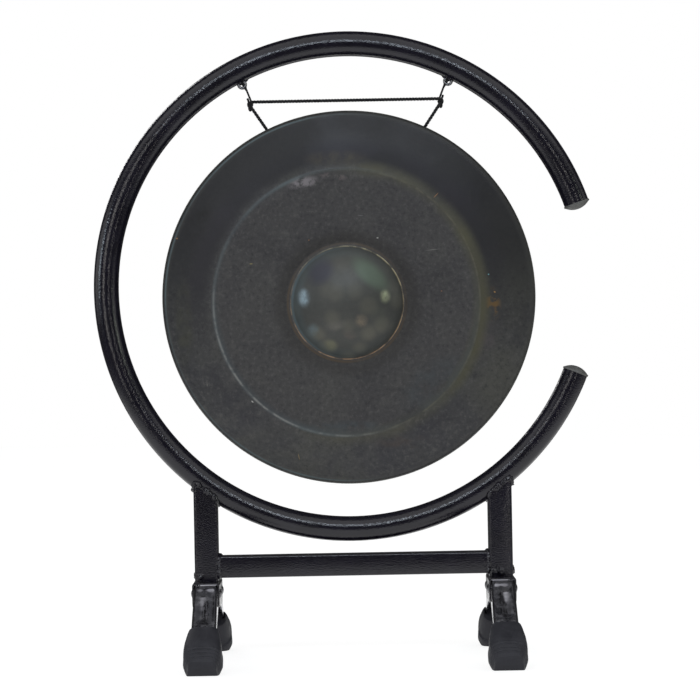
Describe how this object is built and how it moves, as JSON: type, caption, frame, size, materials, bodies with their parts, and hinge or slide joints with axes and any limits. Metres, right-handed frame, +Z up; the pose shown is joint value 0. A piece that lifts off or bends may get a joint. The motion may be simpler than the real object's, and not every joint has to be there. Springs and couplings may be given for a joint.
{
  "type": "gong stand",
  "caption": "C-shaped tube stand with folding feet, holding a bossed gong on a knotted cord.",
  "frame": {"origin": "on the floor, under the middle of the object's bounding box", "axes": "+Z up, -Y out of the gong's struck face, +X towards the open side of the C-shaped ring"},
  "size_m": [0.5055, 0.2482, 0.6397],
  "materials": {
    "frame_paint": "black hammered stove paint, glossy",
    "leg_chrome": "dark polished chrome",
    "rivet_steel": "dark plated steel",
    "boot_rubber": "matt moulded rubber",
    "plug_plastic": "fine grained black plastic",
    "gong_bronze": "dark fired bronze, beaten, waxed",
    "cord_braid": "braided black cord"
  },
  "bodies": {
    "frame": {"ring_tube": "frame_paint", "end_plug_top": "plug_plastic", "end_plug_bottom": "plug_plastic", "post_left": "frame_paint", "post_right": "frame_paint", "crossbar": "frame_paint", "bracket_left": "frame_paint", "bracket_right": "frame_paint", "rivet_left_front": "rivet_steel", "rivet_left_rear": "rivet_steel", "rivet_right_front": "rivet_steel", "rivet_right_rear": "rivet_steel", "eye_left": "rivet_steel", "eye_right": "rivet_steel"},
    "sling": {"gong_cord": "cord_braid", "hanger_loop_left": "cord_braid", "hanger_loop_right": "cord_braid"},
    "gong": {"gong": "gong_bronze"},
    "foot_left_front": {"leg_left_front": "leg_chrome", "boot_left_front": "boot_rubber"},
    "foot_left_rear": {"leg_left_rear": "leg_chrome", "boot_left_rear": "boot_rubber"},
    "foot_right_front": {"leg_right_front": "leg_chrome", "boot_right_front": "boot_rubber"},
    "foot_right_rear": {"leg_right_rear": "leg_chrome", "boot_right_rear": "boot_rubber"}
  },
  "joints": [
    {"name": "sling_swing", "type": "hinge", "parent": "frame", "child": "sling", "pos_m": [0.0069, 0, 0.58085], "axis": [1, 0, 0], "range_deg": [-25, 25]},
    {"name": "gong_swing", "type": "hinge", "parent": "sling", "child": "gong", "pos_m": [0.0069, 0, 0.53835], "axis": [1, 0, 0], "range_deg": [-20, 20]},
    {"name": "fold_left_front", "type": "hinge", "parent": "frame", "child": "foot_left_front", "pos_m": [-0.1426, -0.019, 0.0713], "axis": [1, 0, 0], "range_deg": [0, 52]},
    {"name": "fold_left_rear", "type": "hinge", "parent": "frame", "child": "foot_left_rear", "pos_m": [-0.1426, 0.019, 0.0713], "axis": [-1, 0, 0], "range_deg": [0, 52]},
    {"name": "fold_right_front", "type": "hinge", "parent": "frame", "child": "foot_right_front", "pos_m": [0.1564, -0.019, 0.0713], "axis": [1, 0, 0], "range_deg": [0, 52]},
    {"name": "fold_right_rear", "type": "hinge", "parent": "frame", "child": "foot_right_rear", "pos_m": [0.1564, 0.019, 0.0713], "axis": [-1, 0, 0], "range_deg": [0, 52]}
  ]
}
